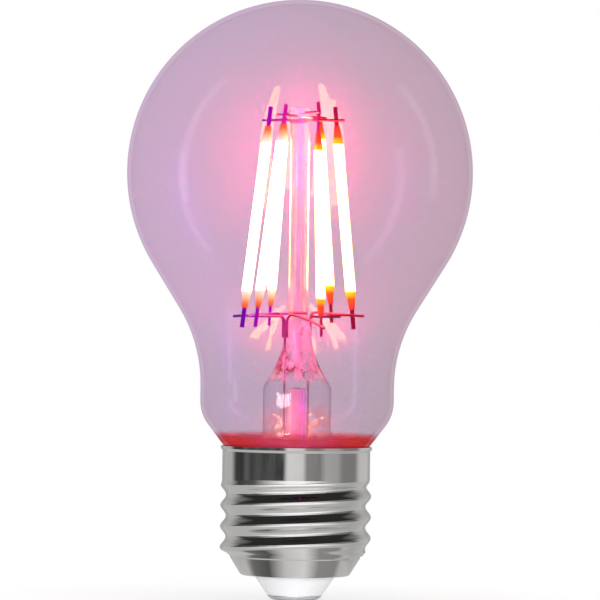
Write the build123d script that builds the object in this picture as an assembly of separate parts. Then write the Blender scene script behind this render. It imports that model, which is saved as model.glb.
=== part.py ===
"""LED grow light bulb: a clear A60 filament bulb with an E27 screw cap, in millimetres.

The axis of the bulb is Z, the tip contact stands on Z = 0 and the photographed side faces -Y.
Azimuths are counted from the front (-Y) towards the right (+X).
"""
import os
from math import atan2, cos, degrees, radians, sin, tan

from build123d import *

# Glass envelope, with the neck's straight run and the cone as shares of the height they join
OVERALL_HEIGHT = 104.0
GLOBE_R = 30.0
GLASS_WALL = 0.7
CONE_SHARE = 0.2539
NECK_R = 16.8
NECK_STRAIGHT_SHARE = 0.0667
NECK_ABOVE_CAP = 7.8
NECK_BEND_R = 7.0
NECK_BEND_ANGLE = 37.5
SEAL_BLEND_R = 2.0
SEAL_NECK_R = 11.5
SEAL_Z = 18.6

# Screw cap
THREAD_PITCH = 3.63
THREAD_CREST_R = 13.1
THREAD_ROOT_R = 12.15
THREAD_LOW_Z = 7.3
THREAD_HIGH_Z = 21.0
THREAD_RISE_SHARE = 0.778
THREAD_FADE_HIGH = 1.8
THREAD_LEFT_CREST_Z = 12.6
THREAD_SECTIONS_A_TURN = 12
SHELL_WALL = 0.3
SKIRT_R = 12.85
SKIRT_TOP_Z = 26.6
LIP_R = 13.15
LIP_HEIGHT = 0.9
TAPER_TOP_R = 11.3
TAPER_LOW_R = 9.4
SHELL_FLOOR_Z = 4.2
SHELL_CORNER_R = 0.7
SHELL_OPENING_R = 7.1
CEMENT_LOW_Z = 21.2
CEMENT_HIGH_Z = 25.9

# Tip of the cap
TIP_R = 4.7
TIP_FACE_R = 3.5
TIP_EDGE_HEIGHT = 0.68
INSULATOR_LOW_Z = 0.8
INSULATOR_LOW_R = 4.75
INSULATOR_GAP_R = 4.4
INSULATOR_FLANGE_R = 8.7
INSULATOR_RIM_WALL = 1.5
INSULATOR_FLOOR = 1.2
INSULATOR_BORE_R = 0.6

# Driver board and what it carries
BOARD_R = 9.4
BOARD_LOW_Z = 7.6
BOARD_T = 1.0
SUPPLY_WIRE_R = 0.3
SUPPLY_WIRE_PROUD = 0.5
NEUTRAL_WIRE_AT = (7.9, 90.0)
CAPACITOR_R = 3.15
CAPACITOR_H = 7.5
CAPACITOR_AT = (5.9, 57.0)
CAPACITOR_GROOVE = 0.3
CHOKE_R = 2.5
CHOKE_H = 4.6
CHOKE_AT = (6.1, 228.0)
CHOKE_FLANGE_T = 0.7
CHOKE_CORE_R = 1.2
CHOKE_WINDING_R = 2.2
FUSE_R = 1.2
FUSE_LENGTH = 6.0
FUSE_AT = (6.3, 318.0)
FUSE_END_R = 1.4
FUSE_END_LENGTH = 1.1
FUSE_LEG_R = 0.3
FUSE_LEG_REACH = 4.3
CHIP_SIZE = (4.9, 3.9, 1.5)
CHIP_AT = (3.9, 0.0)
CHIP_LEGS_A_SIDE = 4
CHIP_LEG_PITCH = 1.27
RECTIFIER_SIZE = (4.7, 3.8, 1.4)
RECTIFIER_AT = (3.9, 180.0)
RECTIFIER_LEGS_A_SIDE = 2
RECTIFIER_LEG_PITCH = 2.5
LEG_WIDTH = 0.45
LEG_REACH = 0.9
LEG_T = 0.2

# Glass stem, with the press sections as shares of its height and their two half widths
FLARE_R = 5.9
FLARE_WALL = 0.9
FLARE_STRAIGHT_Z = 29.0
FLARE_RIM_T = 0.8
FLARE_RIM_FLAT = 1.0
PRESS_Z = 36.6
PRESS_SHARES = (0.1, 0.25, 0.433, 0.633, 0.817)
PRESS_LONG_HALVES = (5.6, 4.7, 3.7, 2.7, 2.3)
PRESS_SHORT_HALVES = (4.9, 3.5, 2.5, 2.25, 2.25)
STEM_TOP_BELOW_FOOT = 0.2
STEM_TOP_R = 1.95
EXHAUST_R = 1.8
EXHAUST_BORE_R = 1.1
EXHAUST_END_Z = 14.0
EXHAUST_HOLE_R = 0.6
EXHAUST_HOLE_BELOW_TOP = 1.7
EXHAUST_HOLE_AZIMUTH = 12.0
POST_R = 1.7
BEAD_R = 2.05
BEAD_BELOW_HEAD = 1.5
BEAD_ABOVE_HEAD = 1.6
BEAD_ROUND = 1.0

# Filaments, with the foot's azimuth, the head's turn from it and the lift of each from left to right
FILAMENT_AZIMUTHS = {"1": 256.0, "2": 310.0, "3": 209.0, "4": 22.0, "5": 141.0, "6": 76.0}
HEAD_TURNS = {"1": -16.0, "2": 20.0, "3": -6.0, "4": 4.0, "5": 4.0, "6": 11.0}
FILAMENT_LIFTS = {"1": 0.0, "2": 0.2, "3": 0.4, "4": -1.3, "5": 1.0, "6": 0.0}
HEAD_RADIUS = 6.1
HEAD_Z = 83.8
FOOT_RADIUS = 9.7
STRIP_LENGTH = 38.8
STRIP_WIDTH = 0.75
STRIP_T = 0.2
STRIP_PROUD = 1.9
TAB_LENGTH = 3.4
PHOSPHOR_WIDTH = 1.7
PHOSPHOR_T = 1.3
PHOSPHOR_ROUND = 0.5
NIB_LENGTH = 3.0
NIB_WIDTH = 0.95
NIB_T = 0.5
NIB_ROUND = 0.15

# Wires in the bulb
WIRE_R = 0.23
WIRE_BEND_R = 1.2
BRIDGED_FILAMENTS = (("1", "6"), ("2", "5"), ("3", "4"))
BRIDGE_LIFTS = (-0.6, 0.0, 0.6)
BRIDGE_PROUD = 1.5
BRIDGE_STRAIGHT = 2.4
LEAD_FILAMENTS = {"front": "2", "rear": "5"}
LEAD_RADIUS = 2.9
LEAD_ABOVE_FOOT = 0.3
LEAD_OF_ARM = {"1": "front", "4": "front", "3": "rear", "6": "rear"}
ARM_LIFTS = {"1": 0.2, "4": -1.6, "3": 0.4, "6": 0.5}
ARM_RISE = 0.6
ARM_WELD_SHARE = 0.733
ARM_STRAIGHT = 3.8
ARM_PROUD = 2.0

# Sizes of the envelope that follow from the ones above
GLOBE_Z = OVERALL_HEIGHT - GLOBE_R
NECK_BEND_Z = SKIRT_TOP_Z + NECK_ABOVE_CAP
NECK_TOP_Z = NECK_BEND_Z + NECK_STRAIGHT_SHARE * (GLOBE_Z - NECK_BEND_Z)
SHOULDER_DROP = GLOBE_Z - NECK_TOP_Z
CONE_RUN = CONE_SHARE * SHOULDER_DROP
SHOULDER_SQUARES = NECK_R**2 + SHOULDER_DROP**2 - GLOBE_R**2 - CONE_RUN**2
SHOULDER_BLEND_R = SHOULDER_SQUARES / (2 * (GLOBE_R - NECK_R))
CONE_DIP = atan2(CONE_RUN, GLOBE_R + SHOULDER_BLEND_R)
SHOULDER_ANGLE = degrees(atan2(SHOULDER_DROP, NECK_R + SHOULDER_BLEND_R) - CONE_DIP)

# Sizes of the cap that follow
THREAD_MEAN_R = (THREAD_CREST_R + THREAD_ROOT_R) / 2
THREAD_DEPTH_HALF = (THREAD_CREST_R - THREAD_ROOT_R) / 2
THREAD_FADE_LOW = THREAD_RISE_SHARE * (THREAD_CREST_R - TAPER_TOP_R)
SHELL_FLOOR_TOP = SHELL_FLOOR_Z + SHELL_WALL
BOARD_TOP_Z = BOARD_LOW_Z + BOARD_T

# Sizes of the filaments, the stem and the wires that follow
PHOSPHOR_LENGTH = STRIP_LENGTH - 2 * TAB_LENGTH
FOOT_Z = HEAD_Z - STRIP_LENGTH + 2 * STRIP_PROUD
TAB_SIDE = STRIP_T / 2 + WIRE_R
BEAD_LOW_Z = HEAD_Z - BEAD_BELOW_HEAD
BEAD_HIGH_Z = HEAD_Z + BEAD_ABOVE_HEAD
STEM_TOP_Z = FOOT_Z - STEM_TOP_BELOW_FOOT
PRESS_HEIGHT = STEM_TOP_Z - PRESS_Z
EXHAUST_HOLE_Z = STEM_TOP_Z - EXHAUST_HOLE_BELOW_TOP
LEAD_ARM_Z = FOOT_Z + LEAD_ABOVE_FOOT
ARM_WELD_Z = PRESS_Z + ARM_WELD_SHARE * PRESS_HEIGHT


def polar(radius, azimuth, z=0.0):
    """Point at a radius and an azimuth from the front."""
    angle = radians(azimuth)
    return Vector(radius * sin(angle), -radius * cos(angle), z)


def facing(azimuth):
    """Turn that sends local +X outwards along an azimuth."""
    return Rot(0, 0, azimuth - 90)


def turned(profile):
    """Solid of revolution of a closed outline drawn as radius and height."""
    return revolve(Plane.XZ * make_face(profile), Axis.Z)


def ring(outer, inner, low, high):
    """Plain ring between two radii and two heights."""
    outline = Polyline((inner, low), (outer, low), (outer, high), (inner, high), close=True)
    return turned(outline)


def rod(radius, start, end):
    """Straight round rod between two points."""
    along = Vector(*end) - Vector(*start)
    return extrude(Plane(origin=start, z_dir=along) * Circle(radius), along.length)


def bent_wire(radius, points, bend):
    """Round wire along straight runs joined by arcs."""
    path = FilletPolyline(*points, radius=bend)
    section = Plane(origin=path @ 0, z_dir=path % 0) * Circle(radius)
    return sweep(section, path=path)


def smooth_step(value, low, high):
    """Rise from 0 to 1 between two values, level at both ends."""
    share = min(1.0, max(0.0, (value - low) / (high - low)))
    return share * share * (3 - 2 * share)


def envelope_solid(inset):
    """Body of the envelope's form, set in from the outer glass face."""
    shoulder = radians(SHOULDER_ANGLE)
    bend = radians(NECK_BEND_ANGLE)
    globe = GLOBE_R - inset
    blend = SHOULDER_BLEND_R + inset
    neck = NECK_R - inset
    neck_bend = NECK_BEND_R - inset
    seal_blend = SEAL_BLEND_R + inset
    seal_neck = SEAL_NECK_R - inset

    crown = (0, GLOBE_Z + globe)
    globe_side = (globe, GLOBE_Z)
    globe_end = (globe * cos(shoulder), GLOBE_Z - globe * sin(shoulder))
    blend_x = neck + blend
    blend_start = (blend_x - blend * cos(shoulder), NECK_TOP_Z + blend * sin(shoulder))
    blend_mid = (blend_x - blend * cos(shoulder / 2), NECK_TOP_Z + blend * sin(shoulder / 2))
    blend_end = (neck, NECK_TOP_Z)

    bend_x = neck - neck_bend
    bend_start = (neck, NECK_BEND_Z)
    bend_mid = (bend_x + neck_bend * cos(bend / 2), NECK_BEND_Z - neck_bend * sin(bend / 2))
    bend_end = (bend_x + neck_bend * cos(bend), NECK_BEND_Z - neck_bend * sin(bend))
    seal_x = seal_neck + seal_blend
    seal_start_x = seal_x - seal_blend * cos(bend)
    seal_start = (seal_start_x, bend_end[1] - (bend_end[0] - seal_start_x) / tan(bend))
    seal_z = seal_start[1] - seal_blend * sin(bend)
    seal_mid = (seal_x - seal_blend * cos(bend / 2), seal_z + seal_blend * sin(bend / 2))
    seal_end = (seal_neck, seal_z)

    globe_top = (globe * cos(radians(45)), GLOBE_Z + globe * sin(radians(45)))
    globe_low = (globe * cos(shoulder / 2), GLOBE_Z - globe * sin(shoulder / 2))
    outline = [
        ThreePointArc(crown, globe_top, globe_side),
        ThreePointArc(globe_side, globe_low, globe_end),
        Line(globe_end, blend_start),
        ThreePointArc(blend_start, blend_mid, blend_end),
        Line(blend_end, bend_start),
        ThreePointArc(bend_start, bend_mid, bend_end),
        Line(bend_end, seal_start),
        ThreePointArc(seal_start, seal_mid, seal_end),
        Polyline(seal_end, (seal_neck, SEAL_Z), (0, SEAL_Z), crown),
    ]
    return turned(outline)


def thread_solid(inset):
    """Rolled knuckle thread: round sections whose centres wind about the axis and settle on it."""
    height = THREAD_HIGH_Z - THREAD_LOW_Z
    count = round(height / THREAD_PITCH * THREAD_SECTIONS_A_TURN)
    low_full = THREAD_LOW_Z + THREAD_FADE_LOW
    high_full = THREAD_HIGH_Z - THREAD_FADE_HIGH
    sections = []
    for index in range(count + 1):
        z = THREAD_LOW_Z + height * index / count
        rise = smooth_step(z, THREAD_LOW_Z, low_full)
        fade = smooth_step(z, high_full, THREAD_HIGH_Z)
        offset = THREAD_DEPTH_HALF * rise * (1 - fade)
        radius = TAPER_TOP_R + (THREAD_MEAN_R - TAPER_TOP_R) * rise + (SKIRT_R - THREAD_MEAN_R) * fade
        angle = radians(180 + 360 * (z - THREAD_LEFT_CREST_Z) / THREAD_PITCH)
        sections.append(Pos(offset * cos(angle), offset * sin(angle), z) * Circle(radius - inset))
    return loft(sections)


def screw_shell():
    """Sheet metal cap: lipped skirt, rolled thread, taper and a floor with a round opening."""
    lip_low = SKIRT_TOP_Z - LIP_HEIGHT
    skirt_inner = SKIRT_R - SHELL_WALL
    lip_inner = LIP_R - SHELL_WALL
    skirt = turned(
        Polyline(
            (skirt_inner, THREAD_HIGH_Z),
            (SKIRT_R, THREAD_HIGH_Z),
            (SKIRT_R, lip_low),
            (LIP_R, lip_low + LIP_HEIGHT / 2),
            (LIP_R, SKIRT_TOP_Z),
            (lip_inner, SKIRT_TOP_Z),
            (lip_inner, lip_low + LIP_HEIGHT / 2),
            (skirt_inner, lip_low),
            close=True,
        )
    )
    thread = thread_solid(0.0) - thread_solid(SHELL_WALL)
    taper_outline = Polyline(
        (SHELL_OPENING_R, SHELL_FLOOR_Z),
        (TAPER_LOW_R, SHELL_FLOOR_Z),
        (TAPER_TOP_R, THREAD_LOW_Z),
        (TAPER_TOP_R - SHELL_WALL, THREAD_LOW_Z),
        (TAPER_LOW_R - SHELL_WALL, SHELL_FLOOR_TOP),
        (SHELL_OPENING_R, SHELL_FLOOR_TOP),
        close=True,
    )
    taper = turned(taper_outline)
    corner = taper.edges().filter_by(GeomType.CIRCLE).filter_by(
        lambda edge: abs(edge.radius - TAPER_LOW_R) < 0.01
    )
    return skirt + thread + fillet(corner, SHELL_CORNER_R)


def tip_insulator():
    """White cone below the shell, with a flange on the shell's floor and a rim that carries the board."""
    rim_inner = INSULATOR_FLANGE_R - INSULATOR_RIM_WALL
    cavity_floor = SHELL_FLOOR_TOP + INSULATOR_FLOOR
    body = turned(
        Polyline(
            (INSULATOR_BORE_R, INSULATOR_LOW_Z),
            (INSULATOR_LOW_R, INSULATOR_LOW_Z),
            (SHELL_OPENING_R, SHELL_FLOOR_Z),
            (SHELL_OPENING_R, SHELL_FLOOR_TOP),
            (INSULATOR_FLANGE_R, SHELL_FLOOR_TOP),
            (INSULATOR_FLANGE_R, BOARD_LOW_Z),
            (rim_inner, BOARD_LOW_Z),
            (rim_inner, cavity_floor),
            (INSULATOR_BORE_R, cavity_floor),
            close=True,
        )
    )
    wire_low = polar(*NEUTRAL_WIRE_AT, SHELL_FLOOR_TOP)
    wire_high = polar(*NEUTRAL_WIRE_AT, BOARD_LOW_Z)
    return body - rod(SUPPLY_WIRE_R, wire_low, wire_high)


def tip_contact():
    """Metal button with a flat face, a rounded edge and a thin gap under the insulator."""
    outline = [
        Line((0, 0), (TIP_FACE_R, 0)),
        TangentArc((TIP_FACE_R, 0), (TIP_R, TIP_EDGE_HEIGHT), tangent=(1, 0)),
        Polyline(
            (TIP_R, TIP_EDGE_HEIGHT),
            (INSULATOR_GAP_R, TIP_EDGE_HEIGHT),
            (INSULATOR_GAP_R, INSULATOR_LOW_Z),
            (0, INSULATOR_LOW_Z),
            (0, 0),
        ),
    ]
    return turned(outline)


def driver_board():
    """Round board with holes for the two supply wires."""
    board = ring(BOARD_R, 0, BOARD_LOW_Z, BOARD_TOP_Z)
    for hole in supply_wire_feet():
        board -= rod(SUPPLY_WIRE_R, hole + Vector(0, 0, BOARD_LOW_Z), hole + Vector(0, 0, BOARD_TOP_Z))
    return board


def supply_wire_feet():
    """Places on the board where the live and the neutral wire come through."""
    return polar(0, 0), polar(*NEUTRAL_WIRE_AT)


def capacitor():
    """Standing round can with a crimp groove near its foot."""
    groove_low = BOARD_TOP_Z + CAPACITOR_H / 5
    groove_r = CAPACITOR_R - CAPACITOR_GROOVE
    can = ring(CAPACITOR_R, 0, BOARD_TOP_Z, BOARD_TOP_Z + CAPACITOR_H)
    groove = ring(CAPACITOR_R, groove_r, groove_low, groove_low + 2 * CAPACITOR_GROOVE)
    return Pos(*polar(*CAPACITOR_AT)) * (can - groove)


def choke_core():
    """Drum core with two flanges."""
    top = BOARD_TOP_Z + CHOKE_H
    core = ring(CHOKE_CORE_R, 0, BOARD_TOP_Z, top)
    foot = ring(CHOKE_R, 0, BOARD_TOP_Z, BOARD_TOP_Z + CHOKE_FLANGE_T)
    head = ring(CHOKE_R, 0, top - CHOKE_FLANGE_T, top)
    return Pos(*polar(*CHOKE_AT)) * (core + foot + head)


def choke_winding():
    """Copper winding between the flanges of the drum core."""
    low = BOARD_TOP_Z + CHOKE_FLANGE_T
    high = BOARD_TOP_Z + CHOKE_H - CHOKE_FLANGE_T
    return Pos(*polar(*CHOKE_AT)) * ring(CHOKE_WINDING_R, CHOKE_CORE_R, low, high)


def fuse_resistor():
    """Axial resistor lying above the board on its two bent legs."""
    axis_z = BOARD_TOP_Z + FUSE_END_R
    body = rod(FUSE_R, (0, -FUSE_LENGTH / 2, axis_z), (0, FUSE_LENGTH / 2, axis_z))
    for side in (-1, 1):
        outer = side * FUSE_LENGTH / 2
        inner = outer - side * FUSE_END_LENGTH
        body += rod(FUSE_END_R, (0, inner, axis_z), (0, outer, axis_z))
        foot = side * FUSE_LEG_REACH
        leg = ((0, outer, axis_z), (0, foot, axis_z), (0, foot, BOARD_TOP_Z))
        body += bent_wire(FUSE_LEG_R, leg, 2 * FUSE_LEG_R)
    return Pos(*polar(*FUSE_AT)) * facing(FUSE_AT[1]) * body


def chip(size, place, legs, pitch):
    """Flat package on the board's lower face with bent legs along two sides."""
    length, width, height = size
    body = Pos(0, 0, BOARD_LOW_Z - height / 2) * Box(length, width, height)
    body = chamfer(body.faces().sort_by(Axis.Z)[0].edges(), LEG_T)
    for side in (-1, 1):
        for index in range(legs):
            x = (index - (legs - 1) / 2) * pitch
            outline = Polyline(
                (width / 2, BOARD_LOW_Z - height / 2),
                (width / 2 + LEG_REACH / 2, BOARD_LOW_Z - height / 2),
                (width / 2 + LEG_REACH / 2, BOARD_LOW_Z - LEG_T),
                (width / 2 + LEG_REACH, BOARD_LOW_Z - LEG_T),
                (width / 2 + LEG_REACH, BOARD_LOW_Z),
                (width / 2 + LEG_REACH / 2 - LEG_T, BOARD_LOW_Z),
                (width / 2 + LEG_REACH / 2 - LEG_T, BOARD_LOW_Z - height / 2 + LEG_T),
                (width / 2, BOARD_LOW_Z - height / 2 + LEG_T),
                close=True,
            )
            leg = extrude(Plane.YZ * make_face(outline), LEG_WIDTH / 2, both=True)
            body += Pos(x, 0, 0) * (leg if side > 0 else mirror(leg, Plane.XZ))
    return Pos(*polar(*place)) * body


def live_wire():
    """Straight wire from the tip contact through the board."""
    return rod(SUPPLY_WIRE_R, (0, 0, INSULATOR_LOW_Z), (0, 0, BOARD_TOP_Z + SUPPLY_WIRE_PROUD))


def neutral_wire():
    """Straight wire from the shell's floor through the board."""
    foot = polar(*NEUTRAL_WIRE_AT, SHELL_FLOOR_TOP)
    return rod(SUPPLY_WIRE_R, foot, polar(*NEUTRAL_WIRE_AT, BOARD_TOP_Z + SUPPLY_WIRE_PROUD))


def stem_flare():
    """Flared tube sealed to the neck, pinched at its top round the leads and the exhaust bore."""
    inner = FLARE_R - FLARE_WALL
    rim_inner = SEAL_NECK_R - FLARE_RIM_FLAT
    rim_low = SEAL_Z - FLARE_RIM_T
    mouth = rim_inner - FLARE_WALL
    outline = [
        Line((FLARE_R, PRESS_Z), (FLARE_R, FLARE_STRAIGHT_Z)),
        Spline((FLARE_R, FLARE_STRAIGHT_Z), (rim_inner, SEAL_Z), tangents=((0, -1), (1, -0.4))),
        Polyline((rim_inner, SEAL_Z), (SEAL_NECK_R, SEAL_Z), (SEAL_NECK_R, rim_low), (mouth, rim_low)),
        Spline((mouth, rim_low), (inner, FLARE_STRAIGHT_Z), tangents=((-1, 0.6), (0, 1))),
        Polyline((inner, FLARE_STRAIGHT_Z), (inner, PRESS_Z), (FLARE_R, PRESS_Z)),
    ]
    tube = turned(outline)
    sections = [Pos(0, 0, PRESS_Z) * Circle(FLARE_R)]
    pinch = facing(FILAMENT_AZIMUTHS[LEAD_FILAMENTS["front"]])
    for share, long_half, short_half in zip(PRESS_SHARES, PRESS_LONG_HALVES, PRESS_SHORT_HALVES):
        sections.append(Pos(0, 0, PRESS_Z + share * PRESS_HEIGHT) * pinch * Ellipse(long_half, short_half))
    sections.append(Pos(0, 0, STEM_TOP_Z) * Circle(STEM_TOP_R))
    press = loft(sections)
    for number in LEAD_FILAMENTS.values():
        azimuth = FILAMENT_AZIMUTHS[number]
        press -= rod(WIRE_R, polar(LEAD_RADIUS, azimuth, PRESS_Z), polar(LEAD_RADIUS, azimuth, STEM_TOP_Z))
    press -= rod(EXHAUST_HOLE_R, (0, 0, PRESS_Z), (0, 0, EXHAUST_HOLE_Z))
    press -= rod(EXHAUST_HOLE_R, (0, 0, EXHAUST_HOLE_Z), polar(FLARE_R, EXHAUST_HOLE_AZIMUTH, EXHAUST_HOLE_Z))
    return tube + press


def exhaust_tube():
    """Thin tube below the press, melted shut at its lower end."""
    outline = [
        Line((EXHAUST_BORE_R, PRESS_Z), (EXHAUST_R, PRESS_Z)),
        Line((EXHAUST_R, PRESS_Z), (EXHAUST_R, EXHAUST_END_Z + EXHAUST_R)),
        RadiusArc((EXHAUST_R, EXHAUST_END_Z + EXHAUST_R), (0, EXHAUST_END_Z), EXHAUST_R),
        Line((0, EXHAUST_END_Z), (0, EXHAUST_END_Z + EXHAUST_R - EXHAUST_BORE_R)),
        RadiusArc(
            (0, EXHAUST_END_Z + EXHAUST_R - EXHAUST_BORE_R),
            (EXHAUST_BORE_R, EXHAUST_END_Z + EXHAUST_R),
            -EXHAUST_BORE_R,
        ),
        Line((EXHAUST_BORE_R, EXHAUST_END_Z + EXHAUST_R), (EXHAUST_BORE_R, PRESS_Z)),
    ]
    return turned(outline)


def support_post():
    """Glass rod on the stem with a rounded bead that grips the bridge wires."""
    post = ring(POST_R, 0, STEM_TOP_Z, BEAD_HIGH_Z - BEAD_ROUND)
    bead = ring(BEAD_R, 0, BEAD_LOW_Z, BEAD_HIGH_Z)
    bead = fillet(bead.edges().filter_by(GeomType.CIRCLE), BEAD_ROUND)
    post += bead
    for pair, lift in zip(BRIDGED_FILAMENTS, BRIDGE_LIFTS):
        post -= bridge_wire(pair, lift)
    return post


def filament_foot(number, z=0.0):
    """Point at a height where a filament's foot is welded."""
    return polar(FOOT_RADIUS, FILAMENT_AZIMUTHS[number], z)


def filament_head(number, z=0.0):
    """Point at a height where a filament's head is welded."""
    return polar(HEAD_RADIUS, FILAMENT_AZIMUTHS[number] + HEAD_TURNS[number], z)


def tab_way(number):
    """Level direction outwards across a filament's tabs, which both its wires follow."""
    return polar(1.0, FILAMENT_AZIMUTHS[number] + HEAD_TURNS[number] / 2)


def bridge_wire(pair, lift):
    """Wire bent inside the bead and beside it, joining two filaments' heads."""
    first, second = pair
    z = HEAD_Z + lift
    points = (
        filament_head(first, z) + tab_way(first) * BRIDGE_PROUD,
        filament_head(first, z) - tab_way(first) * BRIDGE_STRAIGHT,
        (0, 0, z),
        filament_head(second, z) - tab_way(second) * BRIDGE_STRAIGHT,
        filament_head(second, z) + tab_way(second) * BRIDGE_PROUD,
    )
    return bent_wire(WIRE_R, points, WIRE_BEND_R)


def lead_wire(number):
    """Wire from the board through the press, bent out to one filament's foot."""
    azimuth = FILAMENT_AZIMUTHS[number]
    points = (
        polar(LEAD_RADIUS, azimuth, BOARD_TOP_Z),
        polar(LEAD_RADIUS, azimuth, LEAD_ARM_Z),
        filament_foot(number, LEAD_ARM_Z) - tab_way(number) * ARM_STRAIGHT,
        filament_foot(number, LEAD_ARM_Z) + tab_way(number) * ARM_PROUD,
    )
    return bent_wire(WIRE_R, points, WIRE_BEND_R)


def arm_wire(number):
    """Wire welded along a lead, risen beside it and bent out to another filament's foot."""
    lead = polar(LEAD_RADIUS, FILAMENT_AZIMUTHS[LEAD_FILAMENTS[LEAD_OF_ARM[number]]])
    end_z = FOOT_Z + ARM_LIFTS[number]
    top = max(end_z, LEAD_ARM_Z) + ARM_RISE
    bend = filament_foot(number, (top + end_z) / 2) - tab_way(number) * ARM_STRAIGHT
    across = bend - lead
    foot = lead + Vector(across.X, across.Y, 0).normalized() * (2 * WIRE_R)
    points = (
        foot + Vector(0, 0, ARM_WELD_Z),
        foot + Vector(0, 0, top),
        bend,
        filament_foot(number, end_z) + tab_way(number) * ARM_PROUD,
    )
    return bent_wire(WIRE_R, points, WIRE_BEND_R)


def in_filament_place(shape, number):
    """Set a filament piece drawn upright about the origin between its two welds, flat beside its wires."""
    foot = filament_foot(number, FOOT_Z)
    head = filament_head(number, HEAD_Z)
    up = (head - foot).normalized()
    side = up.cross(tab_way(number)).normalized()
    origin = (foot + head) / 2 + side * TAB_SIDE + up * FILAMENT_LIFTS[number]
    return Plane(origin=origin, x_dir=side.cross(up), z_dir=up) * shape


def filament_strip(number):
    """Flat carrier whose bare ends are the filament's tabs."""
    return in_filament_place(Box(STRIP_WIDTH, STRIP_T, STRIP_LENGTH), number)


def filament_phosphor(number):
    """Cast phosphor body round the carrier, drawn to a nib at both ends."""
    half = PHOSPHOR_LENGTH / 2
    full = RectangleRounded(PHOSPHOR_WIDTH, PHOSPHOR_T, PHOSPHOR_ROUND)
    nib = RectangleRounded(NIB_WIDTH, NIB_T, NIB_ROUND)
    sections = [Pos(0, 0, -half) * nib, Pos(0, 0, NIB_LENGTH - half) * full]
    sections += [Pos(0, 0, half - NIB_LENGTH) * full, Pos(0, 0, half) * nib]
    body = loft(sections, ruled=True) - Box(STRIP_WIDTH, STRIP_T, STRIP_LENGTH)
    return in_filament_place(body, number)


def capping_cement():
    """Cement ring between the glass neck and the skirt."""
    return ring(SKIRT_R - SHELL_WALL, SEAL_NECK_R, CEMENT_LOW_Z, CEMENT_HIGH_Z) - envelope_solid(0.0)


def all_parts():
    """Every piece of the bulb by name."""
    parts = {
        "glass_envelope": envelope_solid(0.0) - envelope_solid(GLASS_WALL),
        "stem_flare": stem_flare(),
        "exhaust_tube": exhaust_tube(),
        "support_post": support_post(),
        "screw_shell": screw_shell(),
        "capping_cement": capping_cement(),
        "tip_insulator": tip_insulator(),
        "tip_contact": tip_contact(),
        "driver_board": driver_board(),
        "smoothing_capacitor": capacitor(),
        "choke_core": choke_core(),
        "choke_winding": choke_winding(),
        "fuse_resistor": fuse_resistor(),
        "driver_chip": chip(CHIP_SIZE, CHIP_AT, CHIP_LEGS_A_SIDE, CHIP_LEG_PITCH),
        "rectifier": chip(RECTIFIER_SIZE, RECTIFIER_AT, RECTIFIER_LEGS_A_SIDE, RECTIFIER_LEG_PITCH),
        "live_wire": live_wire(),
        "neutral_wire": neutral_wire(),
    }
    for number in FILAMENT_AZIMUTHS:
        parts[f"filament_{number}"] = filament_phosphor(number)
        parts[f"filament_strip_{number}"] = filament_strip(number)
    for number, (pair, lift) in enumerate(zip(BRIDGED_FILAMENTS, BRIDGE_LIFTS), start=1):
        parts[f"bridge_wire_{number}"] = bridge_wire(pair, lift)
    for name, number in LEAD_FILAMENTS.items():
        parts[f"{name}_lead_wire"] = lead_wire(number)
    for number in LEAD_OF_ARM:
        parts[f"arm_wire_{number}"] = arm_wire(number)
    return parts


os.makedirs("parts", exist_ok=True)
for name, shape in all_parts().items():
    export_step(shape, f"parts/{name}.step")
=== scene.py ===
"""Looks of a lit LED grow light bulb: clear globe, glass stem, glowing filaments and a nickel screw cap.

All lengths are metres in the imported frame: Z is the bulb's axis, the tip contact stands on Z = 0 and the
photographed side faces -Y. Azimuths count from the front (-Y) towards the right (+X).
"""
import logging
from dataclasses import dataclass
from enum import Enum
from math import cos, pi, radians, sin, tan
from typing import Any, Dict, List, Optional, Sequence, Tuple, Union

import bpy
from mathutils import Matrix, Vector


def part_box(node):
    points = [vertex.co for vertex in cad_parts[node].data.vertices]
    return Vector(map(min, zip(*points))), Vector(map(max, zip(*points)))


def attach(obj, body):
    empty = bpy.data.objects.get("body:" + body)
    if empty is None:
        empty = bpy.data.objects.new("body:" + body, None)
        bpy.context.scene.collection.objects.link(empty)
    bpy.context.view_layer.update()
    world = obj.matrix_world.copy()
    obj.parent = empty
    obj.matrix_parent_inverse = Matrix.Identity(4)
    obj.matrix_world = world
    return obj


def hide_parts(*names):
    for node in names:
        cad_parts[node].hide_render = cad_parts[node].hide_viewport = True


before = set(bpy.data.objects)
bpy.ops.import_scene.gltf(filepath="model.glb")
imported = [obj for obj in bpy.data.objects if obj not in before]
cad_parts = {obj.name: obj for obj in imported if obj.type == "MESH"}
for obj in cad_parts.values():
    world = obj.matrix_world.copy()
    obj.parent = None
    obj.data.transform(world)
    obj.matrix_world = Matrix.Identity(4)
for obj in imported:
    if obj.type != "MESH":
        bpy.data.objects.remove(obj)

LOG = logging.getLogger("grow_bulb")
ROOT = "root"
MM = 0.001
FULL_TURN = 360.0
Colour = Tuple[float, float, float]
Point = Tuple[float, float, float]
Stops = Sequence[Tuple[float, Colour]]
Levels = Sequence[Tuple[float, float]]
WHITE: Colour = (1.0, 1.0, 1.0)
BLACK: Colour = (0.0, 0.0, 0.0)
MADE: Dict[str, bpy.types.Material] = {}


def polar(radius: float, azimuth: float, z: float) -> Vector:
    """Place a point about the bulb's axis.

    Args:
        radius: Distance from the axis.
        azimuth: Degrees from the front towards the right.
        z: Height above the tip contact.

    Returns:
        The point in the shared frame.
    """
    angle = radians(azimuth)
    return Vector((radius * sin(angle), -radius * cos(angle), z))


def opaque(colour: Colour) -> Tuple[float, float, float, float]:
    """Give a colour its full alpha."""
    return (*colour, 1.0)


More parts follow.
